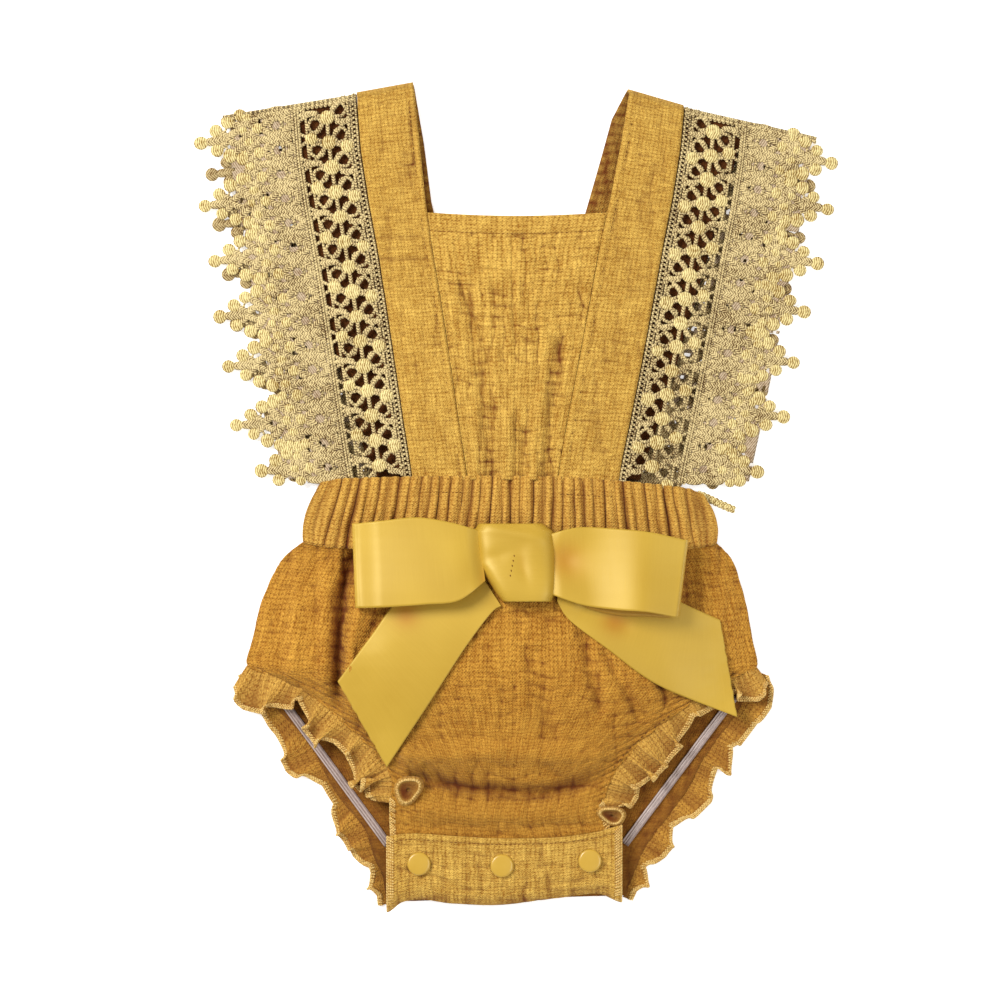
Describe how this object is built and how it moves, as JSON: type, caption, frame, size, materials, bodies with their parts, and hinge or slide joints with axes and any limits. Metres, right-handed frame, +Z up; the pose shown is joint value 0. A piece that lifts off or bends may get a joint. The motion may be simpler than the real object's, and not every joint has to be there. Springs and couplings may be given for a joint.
{
  "type": "baby romper laid flat",
  "caption": "Sleeveless baby romper in crinkle cotton, laid flat: bib on wide straps with lace flutter sleeves, pleated waist, satin bow, frilled bloomers with a snap crotch.",
  "frame": {"origin": "on the surface under the middle of the laid-out garment", "axes": "+Z up out of the surface, +Y towards the shoulders, +X to the right as seen from above the front"},
  "size_m": [0.2971, 0.3825, 0.0263],
  "materials": {
    "cotton": "matte crinkled double gauze",
    "lining": "matte plain cotton",
    "lace": "corded cotton lace",
    "satin": "satin sheen",
    "plastic": "gloss",
    "elastic": "clear ribbed elastic"
  },
  "bodies": {
    "root": {"front_panel": "cotton", "back_panel": "cotton", "waistband_front": "cotton", "waistband_back": "cotton", "bib": "cotton", "strap_left": "cotton", "strap_right": "cotton", "lace_left_front": "lace", "lace_left_back": "lace", "lace_right_front": "lace", "lace_right_back": "lace", "lace_lining_left": "lining", "lace_lining_right": "lining", "leg_frill_front_left": "cotton", "leg_frill_front_right": "cotton", "leg_frill_back_left": "cotton", "leg_frill_back_right": "cotton", "elastic_left": "elastic", "elastic_right": "elastic", "crotch_band": "cotton", "snap_cap_1": "plastic", "snap_cap_2": "plastic", "snap_cap_3": "plastic", "bow_loop_left": "satin", "bow_loop_right": "satin", "bow_tail_left": "satin", "bow_tail_right": "satin", "bow_knot": "satin"}
  },
  "joints": []
}
